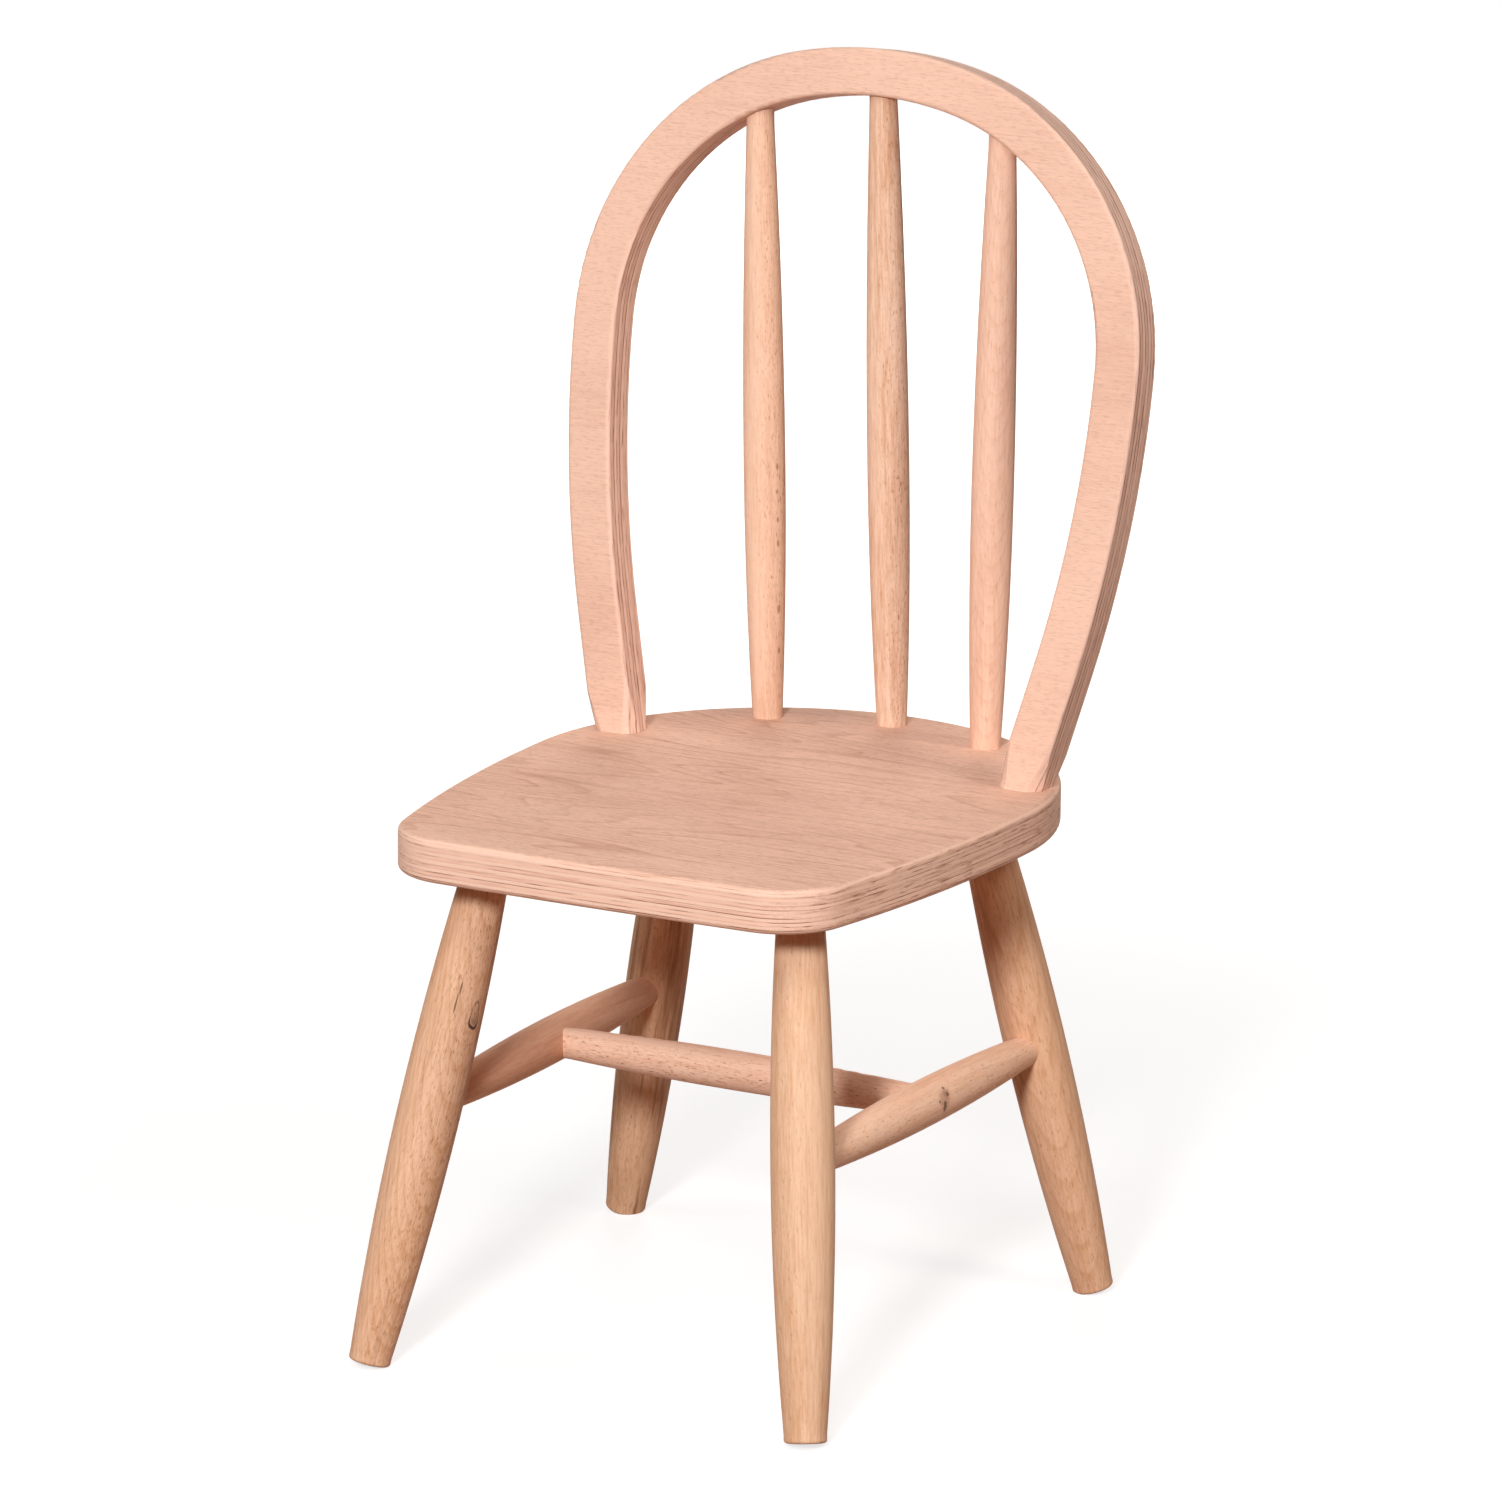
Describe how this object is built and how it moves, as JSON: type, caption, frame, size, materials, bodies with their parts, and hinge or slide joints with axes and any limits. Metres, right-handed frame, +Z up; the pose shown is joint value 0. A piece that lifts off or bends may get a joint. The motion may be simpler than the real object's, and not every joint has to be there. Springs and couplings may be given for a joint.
{
  "type": "child chair",
  "caption": "Low wooden child's chair: plywood seat with a round back, balloon-shaped plywood hoop with turned spindles, and splayed turned legs tied by an H of stretchers.",
  "frame": {"origin": "on the floor, under the middle of the whole chair", "axes": "+Z up, the chair faces -Y, +X to the right as seen from in front"},
  "size_m": [0.3146, 0.345, 0.6192],
  "materials": {
    "seat_plywood": "sanded beech plywood, unfinished, face grain on top and bottom and plies showing on the edge",
    "hoop_plywood": "sanded beech plywood, unfinished, face grain front and back and plies showing on the edges",
    "turned_beech": "turned and sanded solid beech, unfinished, grain along the piece with short dark flecks"
  },
  "bodies": {
    "root": {"seat_panel": "seat_plywood", "back_hoop": "hoop_plywood", "spindle_left": "turned_beech", "spindle_middle": "turned_beech", "spindle_right": "turned_beech", "leg_front_left": "turned_beech", "leg_front_right": "turned_beech", "leg_back_left": "turned_beech", "leg_back_right": "turned_beech", "side_stretcher_left": "turned_beech", "side_stretcher_right": "turned_beech", "cross_stretcher": "turned_beech"}
  },
  "joints": []
}
